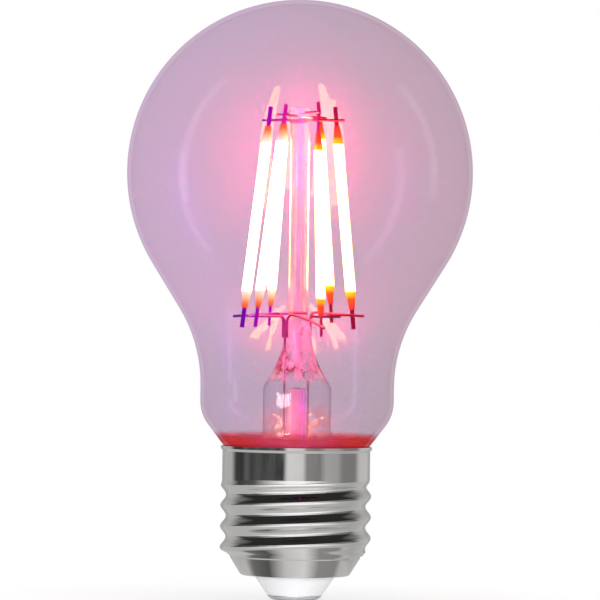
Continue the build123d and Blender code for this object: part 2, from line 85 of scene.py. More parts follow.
class Value:
    """A number that changes over a surface, on which Python's operators add Math nodes."""

    def __init__(self, kit: "NodeKit", socket: bpy.types.NodeSocket) -> None:
        """Wrap an output socket of a node tree."""
        self.kit = kit
        self.socket = socket

    def _math(self, operation: str, first: "Number", second: "Number") -> "Value":
        """Add one Math node on two numbers."""
        node = self.kit.node("ShaderNodeMath", {"operation": operation}, {0: first, 1: second})
        return Value(self.kit, node.outputs[0])

    def __add__(self, other: "Number") -> "Value":
        """Sum of two numbers."""
        return self._math("ADD", self, other)

    __radd__ = __add__

    def __sub__(self, other: "Number") -> "Value":
        """Difference of two numbers."""
        return self._math("SUBTRACT", self, other)

    def __rsub__(self, other: "Number") -> "Value":
        """Difference with this number taken away."""
        return self._math("SUBTRACT", other, self)

    def __mul__(self, other: "Number") -> "Value":
        """Product of two numbers."""
        return self._math("MULTIPLY", self, other)

    __rmul__ = __mul__

    def __truediv__(self, other: "Number") -> "Value":
        """Quotient of two numbers."""
        return self._math("DIVIDE", self, other)

    def __rtruediv__(self, other: "Number") -> "Value":
        """Quotient with this number below the line."""
        return self._math("DIVIDE", other, self)

    def __pow__(self, other: "Number") -> "Value":
        """Power of a number."""
        return self._math("POWER", self, other)

    def angle_from(self, other: "Number") -> "Value":
        """Angle in radians whose tangent is this number over another."""
        return self._math("ARCTAN2", self, other)

    def step(self, low: float, high: float) -> "Value":
        """Rise smoothly from 0 at one number to 1 at another.

        Args:
            low: Number at which the result is 0.
            high: Number at which the result is 1, which may be the smaller one.

        Returns:
            The risen value.
        """
        node = self.kit.node(
            "ShaderNodeMapRange",
            {"interpolation_type": "SMOOTHSTEP"},
            {"Value": self, "From Min": low, "From Max": high},
        )
        return Value(self.kit, node.outputs[0])


Number = Union[float, Value]


class NodeKit:
    """Adds nodes to one tree."""

    def __init__(self, tree: bpy.types.NodeTree) -> None:
        """Keep the tree to add to."""
        self.tree = tree

    def node(
        self, kind: str, settings: Optional[Dict[str, Any]] = None, inputs: Optional[Dict[Any, Any]] = None
    ) -> bpy.types.Node:
        """Add one node.

        Args:
            kind: Blender's type name of the node.
            settings: Properties that are set first; stops are a ramp's places and colours.
            inputs: Numbers, colours or links by socket name or index.

        Returns:
            The new node.
        """
        node = self.tree.nodes.new(kind)
        for name, setting in (settings or {}).items():
            if name == "stops":
                self._set_stops(node.color_ramp.elements, setting)
            else:
                setattr(node, name, setting)
        for key, given in (inputs or {}).items():
            if isinstance(given, Value):
                given = given.socket
            if isinstance(given, bpy.types.NodeSocket):
                self.tree.links.new(given, node.inputs[key])
            elif node.inputs[key].type == "RGBA":
                node.inputs[key].default_value = opaque(given)
            else:
                node.inputs[key].default_value = given
        return node

    @staticmethod
    def _set_stops(elements: bpy.types.ColorRampElements, stops: Stops) -> None:
        """Fill a ramp.

        Args:
            elements: Stops of a new ramp.
            stops: Places in rising order, with their colours.
        """
        while len(elements) < len(stops):
            elements.new(1.0)
        for element, (place, colour) in zip(elements, stops):
            element.position = place
            element.color = opaque(colour)

    def place(self) -> bpy.types.NodeSocket:
        """Object coordinates of the shaded point."""
        return self.node("ShaderNodeTexCoord").outputs["Object"]

    def axes(self) -> Tuple[Value, Value, Value]:
        """Separate X, Y and Z of the shaded point."""
        node = self.node("ShaderNodeSeparateXYZ", inputs={0: self.place()})
        return Value(self, node.outputs[0]), Value(self, node.outputs[1]), Value(self, node.outputs[2])

    def noise(self, grain: float, stretch: Point = (1.0, 1.0, 1.0), detail: float = 3.0) -> Value:
        """Cloudy value about one half.

        Args:
            grain: Size of one cloud in metres.
            stretch: Factors on the three axes; a small one draws the clouds out along that axis.
            detail: Octaves of the noise.

        Returns:
            The noise, from 0 to 1.
        """
        mapping = self.node("ShaderNodeMapping", inputs={"Vector": self.place(), "Scale": stretch})
        inputs = {"Vector": mapping.outputs[0], "Scale": 1.0 / grain, "Detail": detail}
        return Value(self, self.node("ShaderNodeTexNoise", inputs=inputs).outputs[0])

    def ramp(self, stops: Stops, place: Value) -> bpy.types.NodeSocket:
        """Colour at a place from 0 to 1 between the stops of a ramp."""
        return self.node("ShaderNodeValToRGB", {"stops": stops}, {0: place}).outputs[0]

    def blend(self, share: Number, first: Any, second: Any) -> bpy.types.NodeSocket:
        """Mix two colours or colour sockets, by the share of the second."""
        return self.node("ShaderNodeMix", {"data_type": "RGBA"}, {0: share, 6: first, 7: second}).outputs[2]

    def mix(
        self, share: Number, first: bpy.types.NodeSocket, second: bpy.types.NodeSocket
    ) -> bpy.types.NodeSocket:
        """Mix two shaders, by the share of the second."""
        return self.node("ShaderNodeMixShader", inputs={0: share, 1: first, 2: second}).outputs[0]

    def add(self, first: bpy.types.NodeSocket, second: bpy.types.NodeSocket) -> bpy.types.NodeSocket:
        """Lay one shader over another in full."""
        return self.node("ShaderNodeAddShader", inputs={0: first, 1: second}).outputs[0]

    def principled(self, inputs: Dict[str, Any]) -> bpy.types.NodeSocket:
        """Add the common shader with some of its sockets set or linked."""
        return self.node("ShaderNodeBsdfPrincipled", inputs=inputs).outputs[0]

    def clear(self, tint: Colour) -> bpy.types.NodeSocket:
        """Add thin see-through glass of one tint."""
        return self.node("ShaderNodeBsdfTransparent", inputs={"Color": tint}).outputs[0]

    def shine(self, colour: Any, strength: float) -> bpy.types.NodeSocket:
        """Add light of a colour or a colour socket."""
        return self.node("ShaderNodeEmission", inputs={"Color": colour, "Strength": strength}).outputs[0]

    def mirror(self, colour: Colour, roughness: float) -> bpy.types.NodeSocket:
        """Add a gloss of one colour."""
        inputs = {"Color": colour, "Roughness": roughness}
        return self.node("ShaderNodeBsdfGlossy", inputs=inputs).outputs[0]

    def facing(self) -> Value:
        """Rise from 0 where the surface is met square on to 1 at its edge."""
        return Value(self, self.node("ShaderNodeLayerWeight").outputs["Facing"])

    def behind(self) -> Value:
        """Tell faces that are met from behind, as 1, from the others."""
        return Value(self, self.node("ShaderNodeNewGeometry").outputs["Backfacing"])

    def outward(self, height: float, blur: float = 0.1 * MM) -> Value:
        """Tell the outer faces of a hollow piece from its inner ones.

        Args:
            height: Height of a point on the axis, inside the piece.
            blur: How far a face has to look away from the point to count in full.

        Returns:
            1 on faces that look away from the point and 0 on the others.
        """
        given = self.node("ShaderNodeTexCoord").outputs
        inputs = {0: given["Object"], 1: (0.0, 0.0, height)}
        away = self.node("ShaderNodeVectorMath", {"operation": "SUBTRACT"}, inputs)
        inputs = {0: given["Normal"], 1: away.outputs[0]}
        along = self.node("ShaderNodeVectorMath", {"operation": "DOT_PRODUCT"}, inputs)
        return (Value(self, along.outputs["Value"]) * (1.0 - 2.0 * self.behind())).step(0.0, blur)

    def bump(self, height: Value, depth: float) -> bpy.types.NodeSocket:
        """Bend the shading normal by a relief from 0 to 1 of some depth."""
        inputs = {"Strength": 1.0, "Distance": depth, "Height": height}
        return self.node("ShaderNodeBump", inputs=inputs).outputs[0]


@dataclass(frozen=True)
class Finish:
    """A procedural finish, kept as one material under its own name."""

    name: str

    def shader(self, kit: NodeKit) -> bpy.types.NodeSocket:
        """Build the finish's shader in a node tree and return its output."""
        raise NotImplementedError

    def material(self) -> bpy.types.Material:
        """Build the finish's material the first time it is asked for.

        Returns:
            The material.
        """
        if self.name not in MADE:
            made = bpy.data.materials.new(self.name)
            made.use_nodes = True
            made.node_tree.nodes.clear()
            kit = NodeKit(made.node_tree)
            kit.node("ShaderNodeOutputMaterial", inputs={"Surface": self.shader(kit)})
            MADE[self.name] = made
        return MADE[self.name]

    def lay_on(self, piece: bpy.types.Object) -> None:
        """Put the finish on every face of a piece."""
        piece.data.materials.clear()
        piece.data.materials.append(self.material())


@dataclass(frozen=True)
class Moulding(Finish):
    """Cast, fired or moulded stuff with a mottled colour and a fine grain."""

    colour: Colour
    shade: Colour
    roughness: float
    grain: float
    relief: float = 0.02 * MM
    cloud_grains: float = 6.0
    unevenness: float = 0.15

    def shader(self, kit: NodeKit) -> bpy.types.NodeSocket:
        """Build a mottled dielectric.

        Args:
            kit: Nodes of the material.

        Returns:
            The finished shader.
        """
        clouds = kit.noise(self.grain * self.cloud_grains)
        specks = kit.noise(self.grain)
        inputs = {
            "Base Color": kit.blend(clouds, self.colour, self.shade),
            "Roughness": self.roughness + self.unevenness * (specks - 0.5),
            "Normal": kit.bump(specks, self.relief),
        }
        return kit.principled(inputs)


@dataclass(frozen=True)
class Metal(Finish):
    """Bare metal with drawn or rolled streaks."""

    colour: Colour
    shade: Colour
    roughness: float
    grain: float
    stretch: Point = (1.0, 1.0, 1.0)
    relief: float = 0.004 * MM
    stain_grains: float = 9.0
    unevenness: float = 0.12

    def shader(self, kit: NodeKit) -> bpy.types.NodeSocket:
        """Build a streaked metal.

        Args:
            kit: Nodes of the material.

        Returns:
            The finished shader.
        """
        streaks = kit.noise(self.grain, self.stretch)
        stains = kit.noise(self.grain * self.stain_grains)
        inputs = {
            "Base Color": kit.blend(stains, self.colour, self.shade),
            "Metallic": 1.0,
            "Roughness": self.roughness + self.unevenness * (streaks - 0.5),
            "Normal": kit.bump(streaks, self.relief),
        }
        return kit.principled(inputs)


@dataclass(frozen=True)
class GlobeGlass(Finish):
    """Thin glass with a faint haze inside, which the filaments light; its lilac tint is painted light, pinker
    on the right and with painted shade towards the cap, and the red light at the cap is painted.
    """

    half_width: float
    heart: float = 60.0 * MM
    left_painted_tint: Colour = (0.77, 0.666, 0.777)
    right_painted_tint: Colour = (0.737, 0.64, 0.708)
    left_painted_shade: Colour = (0.735, 0.642, 0.738)
    right_painted_shade: Colour = (0.703, 0.625, 0.678)
    painted_shade_top: float = 53.0 * MM
    left_haze: Colour = (0.08, 0.001, 0.18)
    right_haze: Colour = (0.092, 0.001, 0.1)
    haze_side: float = 9.0 * MM
    haze_roughness: float = 0.38
    gloss_tint: Colour = (1.0, 0.85, 0.4)
    gloss: float = 0.04
    edge_gloss: float = 0.05
    edge_power: float = 5.0
    red: Colour = (0.45, 0.02, 0.02)
    red_painted_light: Colour = (0.74, 0.045, 0.05)
    red_painted_middle: Colour = (0.78, 0.075, 0.21)
    red_low: float = 27.6 * MM
    red_high: float = 29.2 * MM
    painted_red_share: float = 0.65
    red_roughness: float = 0.2
    painted_red_glow: float = 0.15
    heart_width: float = 9.0 * MM
    ripple_grain: float = 2.5 * MM
    ripple_height: float = 0.8 * MM

    def shader(self, kit: NodeKit) -> bpy.types.NodeSocket:
        """Build see-through glass with a haze, a mirror gloss and a painted red ring of light.

        Args:
            kit: Nodes of the material.

        Returns:
            The finished shader.
        """
        x, _, z = kit.axes()
        outer = kit.outward(self.heart)
        clear = kit.mix(outer, self._inside(kit, x), self._outside(kit, x, z))
        gloss = (self.gloss + self.edge_gloss * kit.facing() ** self.edge_power) * (1.0 - outer)
        wall = kit.mix(gloss, clear, kit.mirror(self.gloss_tint, 0.0))
        ripple = kit.noise(self.ripple_grain)
        # The ring is painted light: a painted red reflection of the filaments, laid on the glass by height.
        ring = (z + self.ripple_height * (ripple - 0.5)).step(self.red_high, self.red_low)
        return kit.mix(self.painted_red_share * ring, wall, self._painted_red_ring(kit, x, ripple))

    def _outside(self, kit: NodeKit, x: Value, z: Value) -> bpy.types.NodeSocket:
        """Build the outer faces, whose tint is painted light: lilac on the left, pinker on the right, and
        darker towards the cap as painted shade.

        Args:
            kit: Nodes of the material.
            x: Place across the bulb.
            z: Height.

        Returns:
            The shader of the outer faces.
        """
        # Painted light: the tint stands in for the filaments' light in the clear glass, with painted shade
        # near the cap.
        side = x.step(-self.half_width, self.half_width)
        high = kit.mix(side, kit.clear(self.left_painted_tint), kit.clear(self.right_painted_tint))
        low = kit.mix(side, kit.clear(self.left_painted_shade), kit.clear(self.right_painted_shade))
        return kit.mix(z.step(self.painted_shade_top, self.red_high), high, low)

    def _inside(self, kit: NodeKit, x: Value) -> bpy.types.NodeSocket:
        """Build the clear inner faces, whose hollow side has a weak and very rough gloss.

        Args:
            kit: Nodes of the material.
            x: Place across the bulb.

        Returns:
            The shader of the inner faces.
        """
        left = kit.mirror(self.left_haze, self.haze_roughness)
        right = kit.mirror(self.right_haze, self.haze_roughness)
        haze = kit.mix(x.step(-self.haze_side, self.haze_side), left, right)
        bare = kit.clear(WHITE)
        return kit.mix(kit.behind(), kit.add(bare, haze), bare)

    def _painted_red_ring(self, kit: NodeKit, x: Value, ripple: Value) -> bpy.types.NodeSocket:
        """Build the painted red light on the glass above the cap: a painted reflection of the filaments' red
        light, with a weak painted glow.

        Args:
            kit: Nodes of the material.
            x: Place across the bulb.
            ripple: Unevenness from 0 to 1.

        Returns:
            The shader of the ring.
        """
        lit = kit.blend((x * x).step(self.heart_width ** 2, 0.0), self.red_painted_light, self.red_painted_middle)
        inputs = {
            "Base Color": kit.blend(ripple, self.red, lit),
            "Roughness": self.red_roughness,
            "Emission Color": lit,
            "Emission Strength": self.painted_red_glow,
        }
        return kit.principled(inputs)


class PaintedGlow(Enum):
    """Colours of the painted glow in the stem's glass, which stands in for the light that the glass pipes, as
    linear colour.
    """

    VIOLET = (0.7, 0.06, 0.9)
    PINK = (1.0, 0.2, 0.42)
    SALMON = (1.0, 0.32, 0.3)
    CREAM = (1.0, 0.6, 0.45)
    ROSE = (0.7, 0.08, 0.2)


@dataclass(frozen=True)
class StemGlass(Finish):
    """Solid drawn glass with painted light: a pink tint and a glow in its folds stand in for the filaments'
    light that it pipes; the folds are left by the pinch.
    """

    tint: Colour
    painted_glows: Tuple[PaintedGlow, ...]
    glow_width: float
    fold: float
    fold_depth: float
    strength: float
    fade_low: float = 1.0
    fade_high: float = 2.0
    painted_foot_tint: Optional[Colour] = None
    foot_low: float = 50.0 * MM
    foot_high: float = 76.0 * MM
    fold_stretch: Point = (1.0, 1.0, 0.45)
    fold_detail: float = 2.0
    lit_from: float = 0.34
    lit_full: float = 0.62
    sway: float = 0.3
    ior: float = 1.3

    def shader(self, kit: NodeKit) -> bpy.types.NodeSocket:
        """Build refracting glass with a painted glow and tint, which lets lamp light through.

        Args:
            kit: Nodes of the material.

        Returns:
            The finished shader.
        """
        x, _, z = kit.axes()
        folds = kit.noise(self.fold, self.fold_stretch, self.fold_detail)
        # Painted glow: emission along the folds stands in for the filaments' light piped through the glass.
        lit = folds.step(self.lit_from, self.lit_full) * z.step(self.fade_high, self.fade_low)
        across = 0.5 + x / self.glow_width + self.sway * (folds - 0.5)
        stops = [((number + 0.5) / len(self.painted_glows), glow.value) for number, glow in enumerate(self.painted_glows)]
        # The tint is painted light: pink where the filaments' light colours the clear glass, and the foot
        # tint is painted light too.
        tint = self.tint
        if self.painted_foot_tint is not None:
            tint = kit.blend(z.step(self.foot_low, self.foot_high), self.painted_foot_tint, self.tint)
        inputs = {
            "Base Color": tint,
            "Roughness": 0.0,
            "IOR": self.ior,
            "Transmission Weight": 1.0,
            "Emission Color": kit.blend(lit, BLACK, kit.ramp(stops, across)),
            "Emission Strength": self.strength,
            "Normal": kit.bump(folds, self.fold_depth),
        }
        lamp_ray = Value(kit, kit.node("ShaderNodeLightPath").outputs["Is Shadow Ray"])
        return kit.mix(lamp_ray, kit.principled(inputs), kit.clear(self.tint))


@dataclass(frozen=True)
class FlareGlass(StemGlass):
    """Stem glass whose lower run is a thin clear tube with darker edges and painted sparks of light near the
    cap.
    """

    tube_tint: Colour = (1.0, 0.99, 1.0)
    tube_edge: Colour = (0.82, 0.74, 0.82)
    tube_edge_power: float = 3.0
    painted_spark: Colour = (1.0, 0.3, 0.28)
    painted_spark_share: float = 0.45
    spark_grain: float = 1.6 * MM
    spark_stretch: Point = (1.0, 1.0, 0.7)
    spark_detail: float = 2.0
    spark_from: float = 0.5
    spark_full: float = 0.62
    spark_low: float = 29.0 * MM
    spark_high: float = 35.5 * MM
    press_low: float = 37.5 * MM
    press_high: float = 38.7 * MM
    heart: float = 26.0 * MM
    gloss_tint: Colour = (1.0, 0.85, 0.7)
    gloss_roughness: float = 0.02
    gloss: float = 0.03
    edge_gloss: float = 0.1
    edge_power: float = 5.0

    def shader(self, kit: NodeKit) -> bpy.types.NodeSocket:
        """Build a clear tube below refracting glass.

        Args:
            kit: Nodes of the material.

        Returns:
            The finished shader.
        """
        _, _, z = kit.axes()
        facing = kit.facing()
        outer = kit.outward(self.heart)
        edge = outer * facing ** self.tube_edge_power
        clear = kit.mix(edge, kit.clear(self.tube_tint), kit.clear(self.tube_edge))
        # Painted sparks: specks of emission near the cap stand in for light that the glass gathers there.
        crumbs = kit.noise(self.spark_grain, self.spark_stretch, self.spark_detail)
        painted_sparks = crumbs.step(self.spark_from, self.spark_full) * z.step(self.spark_high, self.spark_low)
        lit = kit.mix(self.painted_spark_share * painted_sparks, clear, kit.shine(self.painted_spark, 1.0))
        gloss = outer * (self.gloss + self.edge_gloss * facing ** self.edge_power)
        tube = kit.mix(gloss, lit, kit.mirror(self.gloss_tint, self.gloss_roughness))
        return kit.mix(z.step(self.press_low, self.press_high), tube, super().shader(kit))


class Hue(Enum):
    """Light of a filament and the colours along its nib, by nib lengths from the tip, as linear colour."""

    VIOLET = (
        (24.0, 11.0, 5.0),
        (
            (0.0, (0.55, 0.04, 0.03)),
            (0.3, (0.75, 0.16, 0.04)),
            (0.7, (0.85, 0.5, 0.3)),
            (1.0, (0.95, 0.75, 0.65)),
        ),
    )
    RED = (
        (25.0, 11.0, 1.5),
        (
            (0.0, (0.6, 0.02, 0.02)),
            (0.62, (0.75, 0.07, 0.01)),
            (0.85, (0.8, 0.4, 0.0)),
            (1.05, (0.85, 0.5, 0.0)),
        ),
    )

    def __init__(self, light: Colour, nib: Stops) -> None:
        """Keep the light and the nib's colours."""
        self.light = light
        self.nib = nib


@dataclass(frozen=True)
class LitPhosphor(Finish):
    """Glowing phosphor whose two nibs stay darker and warmer."""

    hue: Hue
    low: float
    high: float
    nib: float
    body: Colour = (0.9, 0.7, 0.6)
    lit_from: float = 1.1
    grain: float = 0.5 * MM
    relief: float = 0.03 * MM
    waver: float = 0.006
    roughness: float = 0.5

    def shader(self, kit: NodeKit) -> bpy.types.NodeSocket:
        """Build a body that shines along its lit run.

        Args:
            kit: Nodes of the material.

        Returns:
            The finished shader.
        """
        _, _, z = kit.axes()
        grain = kit.noise(self.grain)
        height = (z - self.low) / (self.high - self.low) + self.waver * (grain - 0.5)
        peak = max(self.hue.light)
        inputs = {
            "Base Color": kit.ramp(self._stops(self.body, 1.0), height),
            "Roughness": self.roughness,
            "Emission Color": kit.ramp(self._stops(self.hue.light, peak), height),
            "Emission Strength": peak,
            "Normal": kit.bump(grain, self.relief),
        }
        return kit.principled(inputs)

    def _stops(self, lit: Colour, peak: float) -> List[Tuple[float, Colour]]:
        """Colours from foot to head, the same from both ends.

        Args:
            lit: Colour between the nibs.
            peak: Number that all colours are divided by.

        Returns:
            Rising places over the body's length with their colours.
        """
        share = self.nib / (self.high - self.low)
        steps = (*self.hue.nib, (self.lit_from, lit))
        foot = [(place * share, tuple(part / peak for part in colour)) for place, colour in steps]
        return foot + [(1.0 - place, colour) for place, colour in reversed(foot)]


@dataclass(frozen=True)
class PaintedLightMetal(Finish):
    """Metal with painted light: its colour and a painted glow go from violet on the left to red on the right,
    as the bulb's light would colour it.
    """

    left: Colour
    middle: Colour
    right: Colour
    strength: float
    reach: float = 8.0 * MM
    foot: Colour = (1.0, 0.5, 0.72)
    foot_low: float = 40.0 * MM
    foot_high: float = 46.0 * MM
    grain: float = 0.2 * MM
    relief: float = 0.004 * MM
    roughness: float = 0.3
    unevenness: float = 0.12

    def shader(self, kit: NodeKit) -> bpy.types.NodeSocket:
        """Build a metal with painted light, which turns pale pink towards its foot in the stem.

        Args:
            kit: Nodes of the material.

        Returns:
            The finished shader.
        """
        x, _, z = kit.axes()
        streaks = kit.noise(self.grain)
        stops = ((0.0, self.left), (0.5, self.middle), (1.0, self.right))
        # Painted light: the base colour and emission take the filaments' colours by side, and pale towards
        # the foot.
        lit = kit.ramp(stops, 0.5 + x / (2 * self.reach))
        lit = kit.blend(z.step(self.foot_high, self.foot_low), lit, self.foot)
        inputs = {
            "Base Color": lit,
            "Metallic": 1.0,
            "Roughness": self.roughness + self.unevenness * (streaks - 0.5),
            "Emission Color": kit.blend(streaks, lit, BLACK),
            "Emission Strength": self.strength,
            "Normal": kit.bump(streaks, self.relief),
        }
        return kit.principled(inputs)


@dataclass(frozen=True)
class FloorPaper(Finish):
    """Pale paper that the camera sees as white, apart from a soft shadow near the bulb."""

    paint: Colour = (0.9, 0.9, 0.9)
    near_share: float = 0.7
    white_radius: float = 0.06

    def shader(self, kit: NodeKit) -> bpy.types.NodeSocket:
        """Build paper that takes a shadow and fades to white.

        Args:
            kit: Nodes of the material.

        Returns:
            The finished shader.
        """
        x, y, _ = kit.axes()
        far = (x * x + y * y).step(0.0, self.white_radius ** 2)
        path = kit.node("ShaderNodeLightPath").outputs
        seen = Value(kit, path["Is Camera Ray"]) + Value(kit, path["Is Transmission Ray"])
        share = seen * (self.near_share + (1.0 - self.near_share) * far)
        paint = kit.node("ShaderNodeBsdfDiffuse", inputs={"Color": self.paint}).outputs[0]
        return kit.mix(share, paint, kit.shine(WHITE, 1.0))


@dataclass(frozen=True)
class CardPaper(Finish):
    """Bright paper whose grey changes round the bulb, in zones up a wall or out over the floor."""

    near: Levels
    further: Sequence[Tuple[Levels, float, float]]
    upright: bool
    brightness: float = 1.5

    def shader(self, kit: NodeKit) -> bpy.types.NodeSocket:
        """Build a light of changing grey.

        Args:
            kit: Nodes of the material.

        Returns:
            The finished shader.
        """
        x, y, z = kit.axes()
        turn = x.angle_from(0.0 - y) / (2 * pi) + 0.5
        away = z if self.upright else (x * x + y * y) ** 0.5
        grey = kit.ramp(self._stops(self.near), turn)
        for levels, start, held in self.further:
            grey = kit.blend(away.step(start, held), grey, kit.ramp(self._stops(levels), turn))
        return kit.shine(grey, self.brightness)

    def _stops(self, levels: Levels) -> List[Tuple[float, Colour]]:
        """Turn azimuths in degrees and their brightness into ramp stops."""
        return [(azimuth / FULL_TURN + 0.5, (level / self.brightness,) * 3) for azimuth, level in levels]


NICKEL = Metal(
    "rolled_nickel", (0.74, 0.73, 0.72), (0.66, 0.65, 0.64), 0.09, 0.5 * MM, (1.0, 1.0, 0.12), 0.002 * MM
)
CONTACT = Metal("tip_metal", (0.93, 0.93, 0.94), (0.84, 0.84, 0.85), 0.4, 0.4 * MM)
TINNED = Metal("tinned_wire", (0.7, 0.68, 0.64), (0.58, 0.56, 0.52), 0.3, 0.2 * MM)
SOLDER = Metal("solder", (0.62, 0.62, 0.63), (0.5, 0.5, 0.5), 0.28, 0.3 * MM)
COPPER = Metal("enamelled_copper", (0.72, 0.33, 0.14), (0.5, 0.2, 0.08), 0.28, 0.2 * MM)
WIRE = PaintedLightMetal("wire_painted_light", (0.42, 0.1, 0.85), (0.8, 0.1, 0.3), (0.75, 0.06, 0.16), 0.7)
TAB = PaintedLightMetal("tab_painted_light", (0.4, 0.01, 0.9), (0.75, 0.05, 0.6), (0.55, 0.02, 0.12), 0.9, 5.0 * MM)
INSULATOR = Moulding("moulded_white", (0.96, 0.965, 0.98), (0.92, 0.93, 0.95), 0.3, 0.3 * MM)
CEMENT = Moulding("baked_cement", (0.6, 0.2, 0.16), (0.45, 0.12, 0.1), 0.8, 0.25 * MM, 0.1 * MM)
LAMINATE = Moulding("green_laminate", (0.05, 0.22, 0.1), (0.03, 0.15, 0.06), 0.4, 0.2 * MM)
EPOXY = Moulding("chip_epoxy", (0.03, 0.03, 0.032), (0.05, 0.05, 0.052), 0.5, 0.1 * MM)
SLEEVE = Moulding("shrunk_sleeve", (0.05, 0.07, 0.16), (0.03, 0.05, 0.12), 0.3, 0.4 * MM)
FERRITE = Moulding("fired_ferrite", (0.09, 0.09, 0.095), (0.05, 0.05, 0.05), 0.6, 0.15 * MM)
LACQUER = Moulding("resistor_lacquer", (0.25, 0.42, 0.33), (0.2, 0.36, 0.28), 0.3, 0.3 * MM)
# The pink tints of the stem glass below are painted light, and so is the post's foot tint.
PRESS = FlareGlass(
    "press_glass",
    tint=(1.0, 0.6, 0.76),
    painted_glows=(PaintedGlow.SALMON, PaintedGlow.PINK, PaintedGlow.PINK, PaintedGlow.ROSE, PaintedGlow.SALMON),
    glow_width=9.0 * MM,
    fold=1.3 * MM,
    fold_depth=0.6 * MM,
    strength=0.45,
)
TUBE = StemGlass(
    "tube_glass",
    tint=(1.0, 0.7, 0.82),
    painted_glows=(PaintedGlow.SALMON, PaintedGlow.PINK, PaintedGlow.VIOLET),
    glow_width=3.6 * MM,
    fold=3.0 * MM,
    fold_depth=0.05 * MM,
    strength=0.4,
    fade_low=33.0 * MM,
    fade_high=39.0 * MM,
)
POST = StemGlass(
    "post_glass",
    tint=(1.0, 1.0, 0.96),
    painted_glows=(PaintedGlow.SALMON, PaintedGlow.CREAM, PaintedGlow.PINK, PaintedGlow.VIOLET, PaintedGlow.ROSE, PaintedGlow.SALMON, PaintedGlow.CREAM),
    glow_width=3.4 * MM,
    fold=3.0 * MM,
    fold_depth=0.12 * MM,
    strength=0.42,
    painted_foot_tint=(0.96, 0.68, 0.6),
)


def new_object(name: str, mesh: bpy.types.Mesh) -> bpy.types.Object:
    """Put a mesh into the scene.

    Args:
        name: Name of the object.
        mesh: Its mesh, already in place.

    Returns:
        The object, at the origin.
    """
    piece = bpy.data.objects.new(name, mesh)
    bpy.context.scene.collection.objects.link(piece)
    return piece


def dress(finish: Finish, *nodes: str) -> None:
    """Lay one finish on CAD nodes and report each.

    Args:
        finish: Their common finish.
        nodes: Names of the CAD nodes.
    """
    for name in nodes:
        finish.lay_on(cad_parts[name])
        LOG.info("dressed %s in %s", name, finish.name)


class NodeShape:
    """A Geometry Nodes tree that is run once and leaves a plain mesh."""

    def __init__(self, name: str) -> None:
        """Start an empty tree with a geometry input and output.

        Args:
            name: Name of the finished piece.
        """
        self.name = name
        self.tree = bpy.data.node_groups.new(name, "GeometryNodeTree")
        self.kit = NodeKit(self.tree)
        self.tree.interface.new_socket("Geometry", in_out="INPUT", socket_type="NodeSocketGeometry")
        self.tree.interface.new_socket("Geometry", in_out="OUTPUT", socket_type="NodeSocketGeometry")
        self.sizes: Dict[str, float] = {}

    def size(self, name: str, value: float) -> None:
        """Add a named size, in metres or as a plain number, to the tree's inputs."""
        self.tree.interface.new_socket(name, in_out="INPUT", socket_type="NodeSocketFloat")
        self.sizes[name] = value

    def start(self) -> Any:
        """Add the group's input node and return its outputs."""
        return self.kit.node("NodeGroupInput").outputs

    def close(self, geometry: bpy.types.NodeSocket, finish: Finish) -> None:
        """End the tree in real faces with their finish.

        Args:
            geometry: What the tree made.
            finish: Finish of all its faces.
        """
        real = self.kit.node("GeometryNodeRealizeInstances", inputs={0: geometry})
        inputs = {"Geometry": real.outputs[0], "Material": finish.material()}
        dressed = self.kit.node("GeometryNodeSetMaterial", inputs=inputs)
        self.kit.node("NodeGroupOutput", inputs={0: dressed.outputs[0]})

    def run(self, points: Sequence[Vector]) -> bpy.types.Object:
        """Evaluate the tree on some points.

        Args:
            points: Vertices that the tree starts from.

        Returns:
            The piece as a plain mesh.
        """
        seed = bpy.data.meshes.new(f"{self.name}_seed")
        seed.from_pydata([tuple(point) for point in points], [], [])
        carrier = new_object(f"{self.name}_carrier", seed)
        modifier = carrier.modifiers.new("shape", "NODES")
        modifier.node_group = self.tree
        for item in self.tree.interface.items_tree:
            if item.in_out == "INPUT" and item.name in self.sizes:
                modifier[item.identifier] = self.sizes[item.name]
        graph = bpy.context.evaluated_depsgraph_get()
        mesh = bpy.data.meshes.new_from_object(carrier.evaluated_get(graph), depsgraph=graph)
        mesh.name = self.name
        bpy.data.objects.remove(carrier)
        bpy.data.meshes.remove(seed)
        mesh.shade_smooth()
        return new_object(self.name, mesh)


@dataclass
class Globe:
    """Clear glass envelope."""

    node: str = "glass_envelope"

    def build(self) -> None:
        """Dress the envelope in glass with painted light."""
        low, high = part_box(self.node)
        dress(GlobeGlass("globe_glass", half_width=(high[0] - low[0]) / 2), self.node)


@dataclass
class Stem:
    """Glass flare with its press, exhaust tube and post."""

    flare: str = "stem_flare"
    tube: str = "exhaust_tube"
    post: str = "support_post"

    def build(self) -> None:
        """Dress the three glass pieces."""
        dress(PRESS, self.flare)
        dress(TUBE, self.tube)
        dress(POST, self.post)


@dataclass
class FilamentCage:
    """Six filaments hung between bridge wires and arm wires."""

    violet: Tuple[int, ...] = (1, 2, 3)
    red: Tuple[int, ...] = (4, 5, 6)
    nib: float = 3.0 * MM
    bridges: Tuple[str, ...] = ("bridge_wire_1", "bridge_wire_2", "bridge_wire_3")
    leads: Tuple[str, ...] = ("front_lead_wire", "rear_lead_wire")
    arms: Tuple[str, ...] = ("arm_wire_1", "arm_wire_3", "arm_wire_4", "arm_wire_6")

    def build(self) -> None:
        """Dress the filaments, their tabs and the wires."""
        for hue, numbers in ((Hue.VIOLET, self.violet), (Hue.RED, self.red)):
            for number in numbers:
                node = f"filament_{number}"
                low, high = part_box(node)
                dress(LitPhosphor(f"lit_phosphor_{number}", hue, low[2], high[2], self.nib), node)
                dress(TAB, f"filament_strip_{number}")
        dress(WIRE, *self.bridges, *self.leads, *self.arms)


